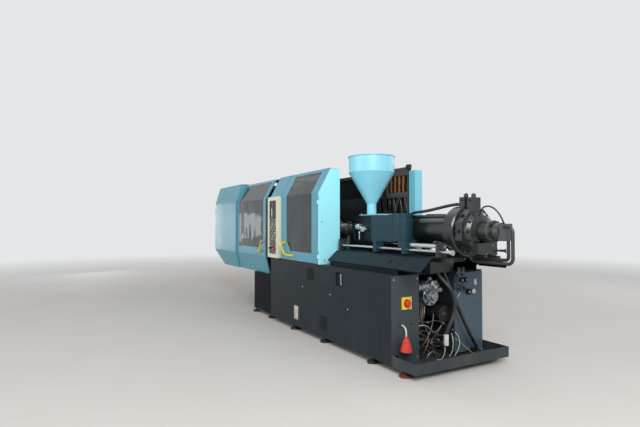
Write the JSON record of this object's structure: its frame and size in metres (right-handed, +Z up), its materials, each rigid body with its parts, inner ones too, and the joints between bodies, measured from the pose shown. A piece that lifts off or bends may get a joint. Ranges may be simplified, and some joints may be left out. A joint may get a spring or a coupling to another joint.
{
  "type": "injection moulding machine",
  "caption": "Horizontal plastic injection moulding machine with folded teal guards, a dark base, a conical hopper and an open injection unit.",
  "frame": {"origin": "centre of the footprint on the floor, under the screw axis", "axes": "+X from the clamp end to the drive end, -Y to the operator's side, +Z up"},
  "size_m": [6.451, 1.3298, 2.23],
  "materials": {
    "base_paint": "satin",
    "end_paint": "satin",
    "teal_paint": "satin",
    "housing_paint": "satin",
    "cream_paint": "satin",
    "cabinet_paint": "matte",
    "window": "clear",
    "keypad": "fine grain",
    "casting": "machined faces",
    "ground_steel": "ground",
    "dull_steel": "dull",
    "grey_paint": "satin",
    "black_rubber": "matte",
    "cord_grey": "smooth",
    "red_plastic": "moulded",
    "yellow_plastic": "moulded",
    "hopper_paint": "satin",
    "pipe_brown": "weathered",
    "card_brown": "laminate"
  },
  "bodies": {
    "machine": {"bed_frame": "base_paint", "clamp_stand": "base_paint", "drip_pan": "end_paint", "levelling_feet": "black_rubber", "front_panel": "base_paint", "end_panel": "end_paint", "switchgear": "dull_steel", "main_switch_plate": "yellow_plastic", "supply_cord": "cord_grey", "supply_plug": "red_plastic", "slope_covers": "base_paint", "injection_bed": "base_paint", "guide_rods": "ground_steel", "fixed_platen": "casting", "cylinder_platen": "casting", "tie_bars": "ground_steel", "tie_bar_nuts": "dull_steel", "clamp_cover": "teal_paint", "centre_guard": "teal_paint", "guard_end_plate": "teal_paint", "rear_guard": "teal_paint", "guard_frame": "base_paint", "terminal_housing": "cream_paint", "terminal_panel": "keypad", "oil_tank": "end_paint", "pump_motor": "grey_paint", "hydraulic_pump": "dull_steel", "feed_hoses": "black_rubber", "pilot_pipes": "pipe_brown", "control_cabinet": "cabinet_paint", "cabinet_cover": "teal_paint", "card_rack": "card_brown", "cabinet_cables": "black_rubber", "carriage_rods": "ground_steel"},
    "main_switch": {"main_switch_handle": "red_plastic"},
    "left_door": {"cabinet_door_left": "base_paint"},
    "right_door": {"cabinet_door_right": "base_paint"},
    "latch": {"latch_handle": "dull_steel"},
    "slider": {"sliding_guard": "teal_paint", "sliding_window": "window", "sliding_handle": "yellow_plastic"},
    "hinged": {"hinged_guard": "teal_paint", "hinged_window": "window", "hinged_handle": "yellow_plastic"},
    "clamp": {"moving_platen": "casting", "clamp_ram": "ground_steel"},
    "ejector": {"ejector_rod": "ground_steel"},
    "stop_button": {"emergency_stop": "red_plastic"},
    "carriage": {"feed_housing": "housing_paint", "barrel": "dull_steel", "heater_bands": "dull_steel", "hopper": "hopper_paint", "injection_cylinder": "housing_paint", "hydraulic_motor": "grey_paint", "motor_pipes": "grey_paint", "injection_hoses": "black_rubber", "carriage_cylinders": "grey_paint"},
    "injection": {"injection_piston": "ground_steel"},
    "screw": {"screw": "ground_steel"},
    "gate": {"hopper_gate": "dull_steel"}
  },
  "joints": [
    {"name": "main_switch_turn", "type": "hinge", "parent": "machine", "child": "main_switch", "pos_m": [2.33, -0.4375, 0.64], "axis": [1, 0, 0], "range_deg": [0, 90]},
    {"name": "left_door_swing", "type": "hinge", "parent": "machine", "child": "left_door", "pos_m": [0.911, -0.6165, 0.484], "axis": [0, 0, -1], "range_deg": [0, 100]},
    {"name": "right_door_swing", "type": "hinge", "parent": "machine", "child": "right_door", "pos_m": [2.304, -0.6165, 0.484], "axis": [0, 0, 1], "range_deg": [0, 100]},
    {"name": "latch_turn", "type": "hinge", "parent": "left_door", "child": "latch", "pos_m": [1.406, -0.6055, 0.829], "axis": [0, 1, 0], "range_deg": [0, 60]},
    {"name": "sliding_guard_slide", "type": "slide", "parent": "machine", "child": "slider", "axis": [-1, 0, 0], "range_m": [0, 0.95]},
    {"name": "hinged_guard_swing", "type": "hinge", "parent": "machine", "child": "hinged", "pos_m": [0.913, -0.6265, 1.36], "axis": [0, 0, 1], "range_deg": [0, 110]},
    {"name": "clamp_close", "type": "slide", "parent": "machine", "child": "clamp", "axis": [1, 0, 0], "range_m": [0, 0.45]},
    {"name": "ejector_stroke", "type": "slide", "parent": "clamp", "child": "ejector", "axis": [1, 0, 0], "range_m": [0, 0.12]},
    {"name": "emergency_stop_push", "type": "slide", "parent": "machine", "child": "stop_button", "axis": [0, 1, 0], "range_m": [0, 0.006]},
    {"name": "carriage_slide", "type": "slide", "parent": "machine", "child": "carriage", "axis": [-1, 0, 0], "range_m": [0, 0.36]},
    {"name": "injection_stroke", "type": "slide", "parent": "carriage", "child": "injection", "axis": [1, 0, 0], "range_m": [0, 0.17]},
    {"name": "screw_turn", "type": "hinge", "parent": "injection", "child": "screw", "pos_m": [1.96, 0, 1.335], "axis": [1, 0, 0], "continuous": true},
    {"name": "hopper_gate_slide", "type": "slide", "parent": "carriage", "child": "gate", "axis": [-1, 0, 0], "range_m": [0, 0.08]}
  ]
}
